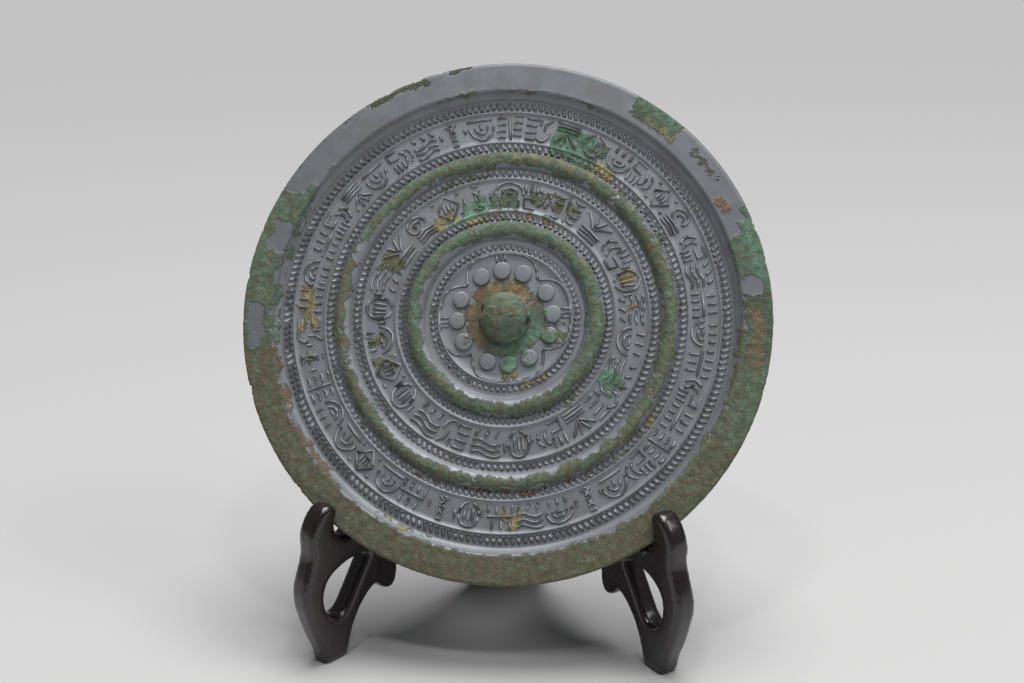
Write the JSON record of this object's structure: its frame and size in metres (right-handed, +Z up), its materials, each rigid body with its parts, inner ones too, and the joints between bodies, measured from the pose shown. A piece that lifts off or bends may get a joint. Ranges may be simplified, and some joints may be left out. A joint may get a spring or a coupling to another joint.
{
  "type": "bronze mirror",
  "caption": "Round cast bronze mirror with two raised rings, bands of strokes and a pierced knob, leaning on a carved wooden display stand.",
  "frame": {"origin": "on the table, under the middle of the whole object's bounding box", "axes": "+X to the right when looking at the decorated side, which faces -Y and leans back 26 degrees; +Z up"},
  "size_m": [0.18, 0.09, 0.1939],
  "materials": {
    "bronze": "smooth blue-grey bronze with green, brown and orange corrosion crust, satin to matt",
    "rosewood": "dark reddish black, polished and lacquered"
  },
  "bodies": {
    "root": {"mirror": "bronze", "stand_leg_left": "rosewood", "stand_leg_right": "rosewood"}
  },
  "joints": []
}
